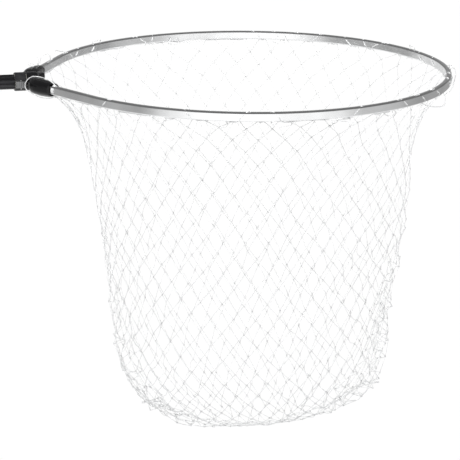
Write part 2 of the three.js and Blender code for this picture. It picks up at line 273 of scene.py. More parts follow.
# ---------------------------------------------------------------- materials
class Paint:
    """A Principled material and the nodes that feed it."""

    def __init__(self, name, colour, roughness, metallic=0.0, ior=1.5):
        self.material = bpy.data.materials.new(name)
        self.material.use_nodes = True
        self.tree = self.material.node_tree
        self.shader = self.tree.nodes["Principled BSDF"]
        self.shader.inputs["Base Color"].default_value = (*colour, 1)
        self.shader.inputs["Roughness"].default_value = roughness
        self.shader.inputs["Metallic"].default_value = metallic
        self.shader.inputs["IOR"].default_value = ior
        self.normal = None

    def node(self, kind, **values):
        made = self.tree.nodes.new(kind)
        for key, value in values.items():
            setattr(made, key, value)
        return made

    def link(self, output, target):
        self.tree.links.new(output, target)

    def coords(self, scale, source):
        origin = self.node("ShaderNodeTexCoord")
        mapping = self.node("ShaderNodeMapping")
        mapping.inputs["Scale"].default_value = scale
        self.link(origin.outputs[source], mapping.inputs["Vector"])
        return mapping.outputs["Vector"]

    def noise(self, scale, detail=3, stretch=(1, 1, 1), source="Object", rough=0.5):
        made = self.node("ShaderNodeTexNoise")
        made.inputs["Scale"].default_value = scale
        made.inputs["Detail"].default_value = detail
        made.inputs["Roughness"].default_value = rough
        self.link(self.coords(stretch, source), made.inputs["Vector"])
        return made.outputs["Fac"]

    def cells(self, scale):
        made = self.node("ShaderNodeTexVoronoi")
        made.inputs["Scale"].default_value = scale
        self.link(self.coords((1, 1, 1), "Object"), made.inputs["Vector"])
        return made.outputs["Distance"]

    def remap(self, value, low, high, to_low, to_high):
        made = self.node("ShaderNodeMapRange")
        made.inputs["From Min"].default_value = low
        made.inputs["From Max"].default_value = high
        made.inputs["To Min"].default_value = to_low
        made.inputs["To Max"].default_value = to_high
        self.link(value, made.inputs["Value"])
        return made.outputs["Result"]

    def maths(self, operation, a, b):
        made = self.node("ShaderNodeMath", operation=operation)
        for socket, value in zip(made.inputs, (a, b)):
            if isinstance(value, (int, float)):
                socket.default_value = value
            else:
                self.link(value, socket)
        return made.outputs["Value"]

    def mix(self, factor, a, b):
        made = self.node("ShaderNodeMix", data_type="RGBA")
        self.link(factor, made.inputs["Factor"])
        for socket, value in ((made.inputs[6], a), (made.inputs[7], b)):
            if isinstance(value, tuple):
                socket.default_value = (*value, 1)
            else:
                self.link(value, socket)
        return made.outputs[2]

    def worn(self, low, high):
        """How sharp the edge is here, from 0 to 1."""
        made = self.node("ShaderNodeNewGeometry")
        return self.remap(made.outputs["Pointiness"], low, high, 0, 1)

    def colour(self, value):
        self.link(value, self.shader.inputs["Base Color"])

    def roughness(self, value):
        self.link(value, self.shader.inputs["Roughness"])

    def bump(self, height, strength, distance):
        made = self.node("ShaderNodeBump")
        made.inputs["Strength"].default_value = strength
        made.inputs["Distance"].default_value = distance
        self.link(height, made.inputs["Height"])
        if self.normal:
            self.link(self.normal, made.inputs["Normal"])
        self.normal = made.outputs["Normal"]
        self.link(self.normal, self.shader.inputs["Normal"])


def hoop_metal():
    """Satin anodised tube: fine lines drawn along it, faint handling marks across."""
    paint = Paint("hoop_metal", (0.88, 0.885, 0.89), 0.2, 1.0)
    drawn = paint.noise(1, 4, (6, 2600, 1), "UV", 0.6)
    cloud = paint.noise(38, 4)
    scuffs = paint.noise(1, 3, (900, 60, 1), "UV", 0.7)
    tone = paint.mix(paint.remap(cloud, 0.35, 0.65, 0, 1), (0.84, 0.845, 0.85), (0.91, 0.915, 0.92))
    paint.colour(paint.mix(paint.remap(scuffs, 0.68, 0.8, 0, 0.5), tone, (0.68, 0.685, 0.69)))
    paint.roughness(paint.remap(drawn, 0.3, 0.7, 0.14, 0.24))
    paint.bump(drawn, 0.18, 0.00002)
    return paint.material


def glossy_moulding():
    """Glossy black nylon of the yoke, with a faint orange peel and fine scuffs."""
    paint = Paint("yoke_moulding", (0.005, 0.005, 0.0055), 0.24, 0, 1.4)
    scuffs = paint.noise(260, 5, (1, 3.2, 1), rough=0.7)
    edge = paint.maths("MULTIPLY", paint.worn(0.52, 0.6), paint.remap(scuffs, 0.45, 0.65, 0, 1))
    paint.colour(paint.mix(edge, (0.0045, 0.0045, 0.005), (0.02, 0.02, 0.021)))
    paint.roughness(paint.remap(scuffs, 0.35, 0.7, 0.2, 0.28))
    paint.bump(paint.noise(420, 2), 0.03, 0.0001)
    paint.bump(paint.noise(5200, 2), 0.03, 0.00002)
    return paint.material


def matte_moulding():
    """Finely textured black nylon of the collar."""
    paint = Paint("collar_moulding", (0.013, 0.013, 0.014), 0.5, 0, 1.5)
    grain = paint.cells(3800)
    cloud = paint.noise(150, 4)
    edge = paint.maths("MULTIPLY", paint.worn(0.51, 0.57), 0.6)
    tones = (0.011, 0.011, 0.012), (0.017, 0.017, 0.018)
    tone = paint.mix(paint.remap(cloud, 0.35, 0.65, 0, 1), *tones)
    paint.colour(paint.mix(edge, tone, (0.05, 0.05, 0.052)))
    paint.roughness(paint.remap(cloud, 0.3, 0.7, 0.46, 0.62))
    paint.bump(grain, 0.35, 0.00006)
    return paint.material


def stamped_steel(name, colour, brush, depth=0.62):
    """Stamped and tumbled steel, brushed along one direction; depth is how dark its lines are."""
    paint = Paint(name, colour, 0.32, 1.0)
    lines = paint.noise(1, 4, brush, rough=0.65)
    pits = paint.noise(2400, 3)
    darker = tuple(depth * c for c in colour)
    brushed = paint.mix(paint.remap(lines, 0.3, 0.7, 0, 1), darker, colour)
    bright = tuple(min(0.7, 2.2 * c) for c in colour)
    paint.colour(paint.mix(paint.worn(0.51, 0.58), brushed, bright))
    paint.roughness(paint.remap(lines, 0.3, 0.7, 0.22, 0.42))
    paint.bump(lines, 0.25, 0.00004)
    paint.bump(pits, 0.1, 0.00002)
    return paint.material


def black_anodising():
    """Black anodised extrusion: lines along the handle, bare metal showing on worn ridges."""
    paint = Paint("black_anodising", (0.02, 0.02, 0.022), 0.36, 0.75)
    lines = paint.noise(1, 4, (7, 1900, 1900), rough=0.6)
    cloud = paint.noise(22, 5)
    nicks = paint.noise(330, 3, (0.25, 1, 1), rough=0.75)
    rub = paint.maths("MULTIPLY", paint.worn(0.5, 0.56), paint.remap(nicks, 0.45, 0.7, 0.25, 0.8))
    tones = (0.017, 0.017, 0.019), (0.027, 0.027, 0.03)
    tone = paint.mix(paint.remap(cloud, 0.35, 0.65, 0, 1), *tones)
    paint.colour(paint.mix(rub, tone, (0.2, 0.2, 0.21)))
    paint.roughness(paint.remap(lines, 0.3, 0.7, 0.29, 0.44))
    paint.bump(lines, 0.2, 0.00004)
    return paint.material


def white_acetal(name, colour):
    """Pale engineering plastic of the hidden guides."""
    paint = Paint(name, colour, 0.42, 0, 1.48)
    cloud = paint.noise(90, 4)
    shade = tuple(0.86 * c for c in colour)
    paint.colour(paint.mix(paint.remap(cloud, 0.3, 0.7, 0, 1), shade, colour))
    paint.roughness(paint.remap(cloud, 0.3, 0.7, 0.34, 0.5))
    paint.bump(paint.noise(1, 3, (60, 2600, 2600)), 0.15, 0.00005)
    paint.shader.inputs["Subsurface Weight"].default_value = 0.15
    paint.shader.inputs["Subsurface Radius"].default_value = (0.001, 0.001, 0.0008)
    return paint.material


def foam():
    """Closed-cell EVA foam: fine skin of cells, slightly dusty."""
    paint = Paint("grip_foam", (0.02, 0.02, 0.021), 0.88, 0, 1.45)
    cell = paint.cells(1500)
    large = paint.cells(620)
    cloud = paint.noise(45, 5)
    tones = (0.016, 0.016, 0.017), (0.032, 0.032, 0.033)
    tone = paint.mix(paint.remap(cloud, 0.3, 0.7, 0, 1), *tones)
    paint.colour(paint.mix(paint.remap(cell, 0.0, 0.5, 0.55, 0), tone, (0.006, 0.006, 0.006)))
    paint.roughness(paint.remap(cloud, 0.3, 0.7, 0.8, 0.95))
    paint.bump(large, 0.35, 0.00025)
    paint.bump(cell, 0.6, 0.00022)
    return paint.material


def rubber():
    """Moulded rubber, matt with a light bloom and a fine spark-eroded grain."""
    paint = Paint("cap_rubber", (0.014, 0.014, 0.014), 0.7, 0, 1.5)
    bloom = paint.noise(70, 5)
    edge = paint.maths("MULTIPLY", paint.worn(0.52, 0.6), 0.5)
    tones = (0.011, 0.011, 0.011), (0.026, 0.026, 0.025)
    tone = paint.mix(paint.remap(bloom, 0.35, 0.7, 0, 1), *tones)
    paint.colour(paint.mix(edge, tone, (0.05, 0.05, 0.05)))
    paint.roughness(paint.remap(bloom, 0.3, 0.7, 0.6, 0.8))
    paint.bump(paint.noise(2900, 3), 0.4, 0.00008)
    return paint.material


def monofilament(name, tint, through):
    """Clear nylon line, a little cloudy, with drawing marks and scuffed patches."""
    paint = Paint(name, tint, 0.26, 0, 1.53)
    cloud = paint.noise(120, 4)
    scuff = paint.noise(900, 3)
    dull = tuple(0.8 * c for c in tint)
    paint.colour(paint.mix(paint.remap(cloud, 0.3, 0.7, 0, 1), dull, tint))
    paint.roughness(paint.remap(scuff, 0.3, 0.7, 0.18, 0.4))
    paint.bump(scuff, 0.2, 0.00003)
    paint.shader.inputs["Transmission Weight"].default_value = through
    return paint.material


metal = hoop_metal()
gloss_black = glossy_moulding()
matte_black = matte_moulding()
latch_metal = stamped_steel("latch_steel", (0.3, 0.303, 0.306), (900, 60, 60), 0.4)
screw_steel = stamped_steel("screw_steel", (0.5, 0.5, 0.5), (1500, 1500, 90))
handle_black = black_anodising()
acetal = white_acetal("guide_acetal", (0.68, 0.67, 0.62))
plug_nylon = white_acetal("plug_nylon", (0.6, 0.6, 0.57))
foam_black = foam()
rubber_black = rubber()
net_line = monofilament("net_line", (0.95, 0.955, 0.96), 0.4)
lace_line = monofilament("lacing_line", (0.92, 0.925, 0.93), 0.3)

# ---------------------------------------------------------------- hoop
def arm_point(along, side):
    return np.array(
        [APEX_X + along * math.sin(ARM_ANGLE), side * along * math.cos(ARM_ANGLE), 0.0]
    )


def hoop_frame(distance):
    """Point and outward direction on the hoop's centreline; distance runs from the front arm's
    mouth round the hoop to the back arm's, and may pass either end by a little."""
    straight = TANGENT_AT - MOUTH
    arc = HOOP_RADIUS * (2 * math.pi - 2 * ARM_ANGLE)
    if distance < straight:
        point = arm_point(MOUTH + distance, -1)
        out = np.array([-math.cos(ARM_ANGLE), -math.sin(ARM_ANGLE), 0.0])
    elif distance > straight + arc:
        point = arm_point(MOUTH + 2 * straight + arc - distance, 1)
        out = np.array([-math.cos(ARM_ANGLE), math.sin(ARM_ANGLE), 0.0])
    else:
        a = math.pi + ARM_ANGLE + (distance - straight) / HOOP_RADIUS
        out = np.array([math.cos(a), math.sin(a), 0.0])
        point = HOOP_RADIUS * out
    return point + np.array([HOOP_X, 0, 0]), out


HOOP_RUN = 2 * (TANGENT_AT - MOUTH) + HOOP_RADIUS * (2 * math.pi - 2 * ARM_ANGLE)


def oval(share, grow):
    """The tube's flat-sided section grown by an amount, as (outward, up); share 0 is the
    bottom, 0.25 the outer face, 0.5 the top and 0.75 the inner face."""
    r = max(TUBE_CORNER + grow, LEAST_CORNER)
    across = TUBE_THICKNESS / 2 + grow - r
    tall = TUBE_HEIGHT / 2 + grow - r
    quarter = math.pi * r / 2
    half = 2 * (across + quarter + tall)
    d = (share % 1.0) * 2 * half
    side = 1
    if d > half:
        d, side = 2 * half - d, -1
    if d < across:
        return side * d, -tall - r
    d -= across
    if d < quarter:
        a = d / r
        return side * (across + r * math.sin(a)), -tall - r * math.cos(a)
    d -= quarter
    if d < 2 * tall:
        return side * (across + r), d - tall
    d -= 2 * tall
    if d < quarter:
        a = d / r
        return side * (across + r * math.cos(a)), tall + r * math.sin(a)
    return side * (across - (d - quarter)), tall + r


def hoop_rail():
    sides, steps = 44, 620
    reach = MOUTH - TUBE_START
    outer = [oval(k / sides, 0) for k in range(sides)]
    inner = [oval(k / sides, -TUBE_WALL) for k in range(sides)]
    verts, station = [], []
    for n in range(steps + 1):
        s = -reach + (HOOP_RUN + 2 * reach) * n / steps
        point, out = hoop_frame(s)
        for n_off, z in outer + inner:
            verts.append(point + out * n_off + np.array([0, 0, z]))
        station.append(s)
    ring = 2 * sides
    faces, uv = [], []

    def quad(n0, n1, a, b, va, vb):
        faces.append([n0 * ring + a, n1 * ring + a, n1 * ring + b, n0 * ring + b])
        for n, v in ((n0, va), (n1, va), (n1, vb), (n0, vb)):
            uv.append((station[n], v * TUBE_GIRTH))

    for n in range(steps):
        for k in range(sides):
            j = (k + 1) % sides
            quad(n, n + 1, k, j, k / sides, (k + 1) / sides)
            quad(n, n + 1, sides + j, sides + k, (k + 1) / sides, k / sides)
    for n in (0, steps):
        for k in range(sides):
            j = (k + 1) % sides
            face = [n * ring + k, n * ring + j, n * ring + sides + j, n * ring + sides + k]
            faces.append(face if n == 0 else face[::-1])
            uv.extend([(station[n], 0.0)] * 4)
    piece = mesh_object("hoop_rail", verts, faces, metal, uv=uv)
    outward(piece)
    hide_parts("hoop_tube")
    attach(piece, "head")


hoop_rail()


# ---------------------------------------------------------------- yoke, collar and latch
SLIDE_RADIUS = 11.1 * MM  # kept free round the handle's axis, for the handle in storage
ARM_ROOT = 11 * MM  # where an arm leaves the barrel, from the handle's axis
CORE_TALL, CORE_WIDE = 5.6 * MM, 4.6 * MM  # of a CAD arm, from its axis; what is outside this
DRAWN = 0.65  # is drawn in by this share
RECESS_RADIUS, RECESS_TOP = 3.7 * MM, -6.0 * MM  # round each screw's head, under the arm
# One arm's skin: distance along the arm, half width outwards and inwards, half height, and how
# far the section leans to the cut of the mouth. It ends with the lip and the tube's socket.
ARM_SKIN = (
    (16.0, 0.0, 0.0, 0.0, 0.0), (16.3, 0.5, 3.0, 4.0, 0.0), (18.0, 2.0, 5.2, 6.4, 0.0),
    (21.0, 4.0, 7.2, 8.0, 0.0), (25.0, 6.4, 8.8, 9.0, 0.0), (30.0, 8.6, 9.7, 9.6, 0.0),
    (37.0, 9.7, 9.9, 9.8, 0.0), (45.0, 9.5, 9.7, 9.6, 0.1), (52.0, 8.9, 9.1, 9.2, 0.45),
    (59.0, 8.1, 8.3, 8.6, 0.8), (63.6, 7.3, 7.4, 8.0, 1.0), (64.9, 6.8, 6.8, 7.6, 1.0),
    (64.9, 6.0, 6.0, 7.0, 1.0), (63.6, 5.2, 5.2, 6.6, 1.0), (61.5, 4.6, 4.6, 6.2, 1.0),
    (50.0, 4.4, 4.4, 6.0, 0.2), (25.0, 4.4, 4.4, 6.0, 0.0), (25.0, 0.0, 0.0, 0.0, 0.0),
)


def arm_skin(side):
    """A smooth pillow round one arm, open at the mouth as a socket."""
    sides, fullness = 56, 2.3
    along_axis = np.array([math.sin(ARM_ANGLE), side * math.cos(ARM_ANGLE), 0])
    out = np.array([-math.cos(ARM_ANGLE), side * math.sin(ARM_ANGLE), 0])
    verts, rings = [], []
    for along, outer, inner, half_height, lean in np.array(ARM_SKIN) * [MM, MM, MM, MM, 1]:
        count = 1 if inner == 0 else sides
        rings.append(list(range(len(verts), len(verts) + count)))
        for k in range(count):
            c, t = math.cos(2 * math.pi * k / sides), math.sin(2 * math.pi * k / sides)
            across = math.copysign(abs(c) ** (2 / fullness), c) * (outer if c > 0 else inner)
            rise = half_height * math.copysign(abs(t) ** (2 / fullness), t)
            place = arm_point(along, side) + [HOOP_X, 0, rise] + out * across
            place = place - along_axis * lean * across * math.tan(ARM_ANGLE)
            spread = math.hypot(place[1], place[2])
            if spread < SLIDE_RADIUS and inner > 4.7 * MM:
                place[1:] *= SLIDE_RADIUS / max(spread, 1e-9)
            verts.append(place)
    faces = []
    for low, high in zip(rings, rings[1:]):
        for k in range(sides):
            j = (k + 1) % sides
            if len(low) == 1:
                faces.append([low[0], high[k], high[j]])
            elif len(high) == 1:
                faces.append([low[k], low[j], high[0]])
            else:
                faces.append([low[k], low[j], high[j], high[k]])
    return verts, faces


def drawn_in(points):
    """The CAD arms drawn in a little, so that the smooth skins cover them."""
    points = points.copy()
    side = np.sign(points[:, 1])
    x = points[:, 0] - HOOP_X - APEX_X
    across = -x * math.cos(ARM_ANGLE) + side * points[:, 1] * math.sin(ARM_ANGLE)
    on_arm = ease((abs(points[:, 1]) - ARM_ROOT) / (5 * MM))
    tall = np.sign(points[:, 2]) * np.maximum(abs(points[:, 2]) - CORE_TALL, 0)
    points[:, 2] -= DRAWN * on_arm * tall
    wide = DRAWN * on_arm * np.maximum(across - CORE_WIDE, 0)
    points[:, 0] += wide * math.cos(ARM_ANGLE)
    points[:, 1] -= wide * side * math.sin(ARM_ANGLE)
    return points


def with_arm_skins(mesh):
    parts = [(drawn_in(vertex_array(mesh)), [list(face.vertices) for face in mesh.polygons])]
    for side in (-1, 1):
        parts.append(arm_skin(side))
    verts, faces = join_parts(parts)
    mesh.clear_geometry()
    mesh.from_pydata(verts.tolist(), [], faces)
    bm = bmesh.new()
    bm.from_mesh(mesh)
    bmesh.ops.recalc_face_normals(bm, faces=bm.faces)
    bm.to_mesh(mesh)
    bm.free()


def screw_recesses(points):
    """The round recesses under the arms that show the screw heads."""
    points = points.copy()
    for node in ("front_arm_screw", "back_arm_screw"):
        low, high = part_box(node)
        middle = np.array([(low.x + high.x) / 2, (low.y + high.y) / 2])
        near = np.linalg.norm(points[:, :2] - middle, axis=1) < RECESS_RADIUS
        inside = near & (points[:, 2] < RECESS_TOP + 0.3 * MM)
        points[inside, 2] = RECESS_TOP
    return points


def yoke():
    body = moulded_copy(
        "yoke_body", "yoke", 0.45 * MM, gloss_black, 14, with_arm_skins, screw_recesses
    )
    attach(body, "head")
    collar = moulded_copy("latch_collar", "collar", 0.28 * MM, matte_black, 4)
    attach(collar, "head")
    lever = moulded_copy("latch_lever", "latch_plate", 0.16 * MM, latch_metal, 3)
    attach(lever, "latch")
    for node, paint in (
        ("collar_bush", acetal),
        ("front_tube_plug", plug_nylon),
        ("back_tube_plug", plug_nylon),
        ("front_arm_screw", screw_steel),
        ("back_arm_screw", screw_steel),
        ("latch_pivot_pin", screw_steel),
        ("latch_spring", screw_steel),
    ):
        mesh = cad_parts[node].data
        mesh.materials.clear()
        mesh.materials.append(paint)


yoke()


# ---------------------------------------------------------------- handle
def handle():
    low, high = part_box("handle_tube")
    outer = (high.z - low.z) / 2
    flutes, depth, bore = 10, 0.8 * MM, 7.9 * MM
    sides = flutes * 16

    def fluted(x, a):
        soft = min(1.0, max(0.0, min(x - low.x, high.x - x) / (0.6 * MM)))
        groove = (0.5 + 0.5 * math.cos(flutes * a)) ** 1.2
        return 1 - soft * depth * groove / outer - (1 - soft) * depth / outer

    chamfer = 0.6 * MM
    xs = [low.x, low.x + chamfer, *np.linspace(low.x + 2 * chamfer, high.x - 2 * chamfer, 40)]
    xs += [high.x - chamfer, high.x]
    profile = [(x, outer) for x in xs] + [(high.x, bore), (low.x, bore)]
    tube = turned("handle", profile, handle_black, sides)
    points = vertex_array(tube.data)
    for point in points:
        if math.hypot(point[1], point[2]) > 1.05 * bore:
            point[1:] *= fluted(point[0], math.atan2(point[2], -point[1]))
    tube.data.vertices.foreach_set("co", points.astype(np.float32).ravel())
    tube.data.update()
    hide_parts("handle_tube")
    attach(tube, "handle")


def handle_fittings():
    low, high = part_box("handle_front_stop")
    radius = (high.z - low.z) / 2
    flange = 2.5 * MM
    spigot = 7.6 * MM
    stop = turned(
        "front_stop",
        rounded_profile(
            [
                (low.x, 0, 0),
                (low.x, spigot),
                (high.x - flange, spigot, 0.2 * MM),
                (high.x - flange, radius, 0.4 * MM),
                (high.x, radius, 0.9 * MM),
                (high.x, radius * 0.62, 0.3 * MM),
                (high.x - 0.7 * MM, radius * 0.56, 0.3 * MM),
                (high.x - 0.7 * MM, 0, 0),
            ],
            0.5 * MM,
        ),
        matte_black,
    )
    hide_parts("handle_front_stop")
    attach(stop, "handle")

    low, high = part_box("handle_grip")
    length, radius = high.x - low.x, (high.z - low.z) / 2
    inner = 9.5 * MM
    outline = [(low.x, inner, 0), (low.x, radius, 2.4 * MM)]
    steps = 30
    for i in range(1, steps):
        t = i / steps
        waist = 1.2 * MM * math.sin(math.pi * t) ** 2
        outline.append((low.x + t * (length - 9 * MM), radius - waist, 1 * MM))
    outline += [(high.x - 6.5 * MM, radius - 0.5 * MM), (high.x, inner + 1.4 * MM, 1 * MM)]
    outline.append((high.x, inner, 0))

    def pressed(x, a):
        wave = noise.noise(Vector((x * 38, math.cos(a) * 1.3, math.sin(a) * 1.3)))
        return 1 - 0.012 * max(0.0, wave)

    grip = turned("foam_grip", rounded_profile(outline, 2 * MM), foam_black, 96, pressed)
    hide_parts("handle_grip")
    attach(grip, "handle")

    low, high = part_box("butt_cap")
    radius = (high.z - low.z) / 2
    front = low.x + 6 * MM
    grooved = radius - 0.45 * MM
    rim = []
    for k in range(3):
        x = low.x + (1.6 + 1.25 * k) * MM
        rim += [(x, radius), (x + 0.4 * MM, radius)]
        rim += [(x + 0.6 * MM, grooved), (x + 1 * MM, grooved)]
    outline = [
        (low.x + 0.5 * MM, 0, 0),
        (low.x + 0.5 * MM, radius * 0.55, 0.3 * MM),
        (low.x, radius * 0.62, 0.4 * MM),
        (low.x, radius - 1 * MM, 1.2 * MM),
        *[(x, r, 0.15 * MM) for x, r in rim],
        (front, radius, 0.5 * MM),
        (front, spigot, 0.2 * MM),
        (high.x, spigot, 0.8 * MM),
        (high.x, 0, 0),
    ]
    cap = turned("rubber_cap", rounded_profile(outline, 0.5 * MM), rubber_black, 96)
    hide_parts("butt_cap")
    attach(cap, "handle")


handle()
handle_fittings()

# ---------------------------------------------------------------- netting
COLUMNS = 46
ROWS = 28
BAR = 22.5 * MM  # knot to knot
SPREAD = 6.5 * MM  # half of what each top mesh spans along the hoop
NET_RADIUS = 0.35 * MM
LACE_RADIUS = 0.6 * MM
KNOT_SIZE = 0.92  # how loosely the knots are drawn down
# The bag's half width under the hoop, on its left and right, against the drop from the hoop.
DROP = np.array([0, 14, 36, 76, 110, 143, 195, 226, 262, 289, 327, 350]) * MM
LEFT = np.array([250, 232, 215, 203, 199, 195, 190, 187, 183, 180, 174, 168]) * MM
RIGHT = np.array([250, 230, 215, 208, 206, 204, 199, 195, 191, 188, 185, 182]) * MM
# The gathered seam along the bottom: across the bag, and its height.
SEAM_ACROSS = np.array([-117, -104, -82, -50, -9, 36, 70, 105, 135, 160]) * MM
SEAM_HEIGHT = np.array([-434, -445, -456, -464, -469, -466, -456, -441, -425, -406]) * MM
SEAM_MIDDLE = 21.5 * MM
SEAM_HALF = 138 * MM
WALL_DROP = 330 * MM  # where the wall starts to turn in to the seam
LOW_ROW = 22  # from this row down the mesh is gathered, and keeps closer to the bag's shape

rng = np.random.default_rng(SEED)


def from_bag(points):
    """From the bag's own axes, across, away and up from the hoop's middle, to the row frame."""
    c, s = math.cos(BAG_TURN), math.sin(BAG_TURN)
    p = np.asarray(points, float)
    return np.stack(
        [HOOP_X + p[..., 0] * c + p[..., 1] * s, p[..., 1] * c - p[..., 0] * s, p[..., 2]], -1
    )


def hoop_distance(angle):
    """Distance along the hoop for a direction from the hoop's middle, in the row frame."""
    turn = (angle - math.pi) % (2 * math.pi)
    near = min(turn, 2 * math.pi - turn)
    if near < ARM_ANGLE:
        slope = math.tan(near)
        along = -APEX_X * slope / (math.cos(ARM_ANGLE) + math.sin(ARM_ANGLE) * slope)
        distance = along - MOUTH
    else:
        distance = TANGENT_AT - MOUTH + (near - ARM_ANGLE) * HOOP_RADIUS
    return distance if turn < math.pi else HOOP_RUN - distance


def under_yoke(share):
    """The lacing's line under the yoke, from the back arm's mouth (0) to the front arm's (1)."""
    y = np.interp(share, [0, 0.22, 0.5, 0.78, 1], [57, 30, 0, -30, -57]) * MM
    x = APEX_X + (36.5 + 2.5 * math.sin(math.pi * share)) * MM
    z = -(9 + 6.5 * math.sin(math.pi * share) ** 0.8) * MM
    return np.array([HOOP_X + x, y, z])


def hoop_attachments():
    """Where the net's top meshes hang: (position, half of the mesh's reach along the hoop,
    distance along the hoop or None)."""
    places = []
    for column in range(COLUMNS):
        angle = 2 * math.pi * (column + 0.15 * rng.normal()) / COLUMNS - BAG_TURN
        s = hoop_distance(angle)
        if 4 * MM < s < HOOP_RUN - 4 * MM:
            point, out = hoop_frame(s)
            below = (0.15 + 1.4 * rng.random() ** 2) * MM
            n_off, z = oval(0.0, LACE_RADIUS + below)
            sway = (rng.random() - 0.5) * 3 * MM
            reach = np.array([-out[1], out[0], 0]) * SPREAD * rng.uniform(0.7, 1.2)
            places.append((point + out * (n_off + sway) + np.array([0, 0, z]), reach, s))
        else:
            turn = angle % (2 * math.pi) - math.pi
            share = float(np.clip(0.5 + 0.5 * turn / math.radians(13.5), 0.06, 0.94))
            reach = under_yoke(share + 0.03) - under_yoke(share - 0.03)
            places.append((under_yoke(share), reach, None))
    return places


def net_knots(top, bars):
    """Knot positions, row by row. The bag's rough shape comes first, then the bars are brought
    to their real length while the net hangs from its top row and its gathered seam."""
    waves = [
        (k, rng.normal() / math.sqrt(k), rng.uniform(0, 2 * math.pi), rng.uniform(-1, 1))
        for k in (2, 3, 5, 7, 9, 11)
    ]
    drift = [
        (k, rng.normal(), rng.uniform(0, 2 * math.pi), rng.uniform(0.05, 0.11))
        for k in (2, 3, 4, 6)
    ]
    grid = np.zeros((ROWS + 1, COLUMNS, 3))
    for column in range(COLUMNS):
        for parity in (0, 1):
            theta0 = 2 * math.pi * (column + 0.5 * parity) / COLUMNS
            d = np.linspace(9 * MM, WALL_DROP, 120)
            theta = theta0 + math.radians(9) * ease((d - 60 * MM) / (280 * MM)) * math.cos(theta0)
            for k, size, phase, length in drift:
                theta = theta + 0.022 * size * np.cos(k * theta0 + phase) * np.sin(d / length)
            left, right = np.interp(d, DROP, LEFT), np.interp(d, DROP, RIGHT)
            lean = 0.5 * (1 + np.cos(theta))
            across = left * (1 - lean) + right * lean
            away = 0.5 * (left + right) * (1 - 0.05 * ease(d / 0.2))
            ripple = sum(
                size * np.cos(k * theta + phase + turn * d / 0.09) for k, size, phase, turn in waves
            )
            ripple = 4 * MM * ease((d - 15 * MM) / 0.22) * ripple
            wall = np.stack(
                [(across + ripple) * np.cos(theta), (away + ripple) * np.sin(theta), -d], -1
            )
            end = theta[-1]
            even = 1 - 2 * abs((end + math.pi) % (2 * math.pi) - math.pi) / math.pi
            seam_x = SEAM_MIDDLE + SEAM_HALF * (0.55 * math.cos(end) + 0.45 * even)
            seam = np.array([seam_x, 0, np.interp(seam_x, SEAM_ACROSS, SEAM_HEIGHT)])
            q = np.linspace(0, math.pi / 2, 80)[1:, None]
            inwards, down = 1 - np.cos(q) ** 1.15, np.sin(q) ** 1.15
            move = seam - wall[-1]
            low = wall[-1] + move * np.concatenate([inwards, inwards, down], 1)
            line = np.concatenate([wall, low])
            run = np.concatenate([[0], np.cumsum(np.linalg.norm(np.diff(line, axis=0), axis=1))])
            for row in range(parity, ROWS + 1, 2):
                at = run[-1] * row / ROWS
                grid[row, column] = [np.interp(at, run, line[:, c]) for c in range(3)]
    goal = from_bag(grid)
    goal[0] = top
    knots = goal.reshape(-1, 3).copy()
    goal = goal.reshape(-1, 3)
    fixed = np.zeros(len(knots), bool)
    fixed[:COLUMNS] = True
    fixed[-COLUMNS:] = True
    free = ~fixed
    knots[-COLUMNS:] += rng.normal(0, 2.0 * MM, (COLUMNS, 3)) * [1, 1.5, 0.8]
    knots[free] += rng.normal(0, 1.6 * MM, (int(free.sum()), 3))
    a, b, offset, length = bars
    degree = np.zeros(len(knots))
    np.add.at(degree, a, 1)
    np.add.at(degree, b, 1)
    hold = np.full((ROWS + 1, COLUMNS, 3), (0.012, 0.012, 0.004))
    hold[LOW_ROW:] = (0.012, 0.012, 0.018)
    hold = hold.reshape(-1, 3)[free]
    for _ in range(900):
        knots[free, 2] -= 0.03 * MM
        knots[free] += (goal[free] - knots[free]) * hold
        for _ in range(2):
            gap = knots[b] - knots[a] - offset
            dist = np.linalg.norm(gap, axis=1)
            short = 0.94 * length
            squeeze = np.where(dist < short, 0.3 * (dist - short), 0)
            pull = np.where(dist > length, dist - length, squeeze)
            shift = gap / dist[:, None] * (0.5 * pull)[:, None]
            moved = np.zeros_like(knots)
            np.add.at(moved, a, shift)
            np.add.at(moved, b, -shift)
            moved /= degree[:, None] * 0.55
            moved[fixed] = 0
            knots += moved
    return knots.reshape(ROWS + 1, COLUMNS, 3)


def net_bars(top, reach):
    """Bars as pairs of knots (flat indices), how far each starts from its upper knot, and each
    bar's length. The top meshes are longest at the back, where they hang freely."""
    a, b = [], []
    for row in range(ROWS):
        for column in range(COLUMNS):
            step = -1 if row % 2 == 0 else 1
            here = row * COLUMNS + column
            a += [here, here]
            b += [here + COLUMNS, (row + 1) * COLUMNS + (column + step) % COLUMNS]
    offset = np.zeros((len(a), 3))
    offset[0 : 2 * COLUMNS : 2] = reach
    offset[1 : 2 * COLUMNS : 2] = -reach
    length = BAR * (1 + rng.normal(0, 0.04, len(a)))
    behind = np.clip(0.5 + 0.5 * top[:, 1] / HOOP_RADIUS, 0, 1)
    length[: 2 * COLUMNS] = np.repeat((13.5 + 6 * behind) * MM, 2)
    length[: 2 * COLUMNS] *= 1 + rng.normal(0, 0.08, 2 * COLUMNS)
    return np.array(a), np.array(b), offset, length


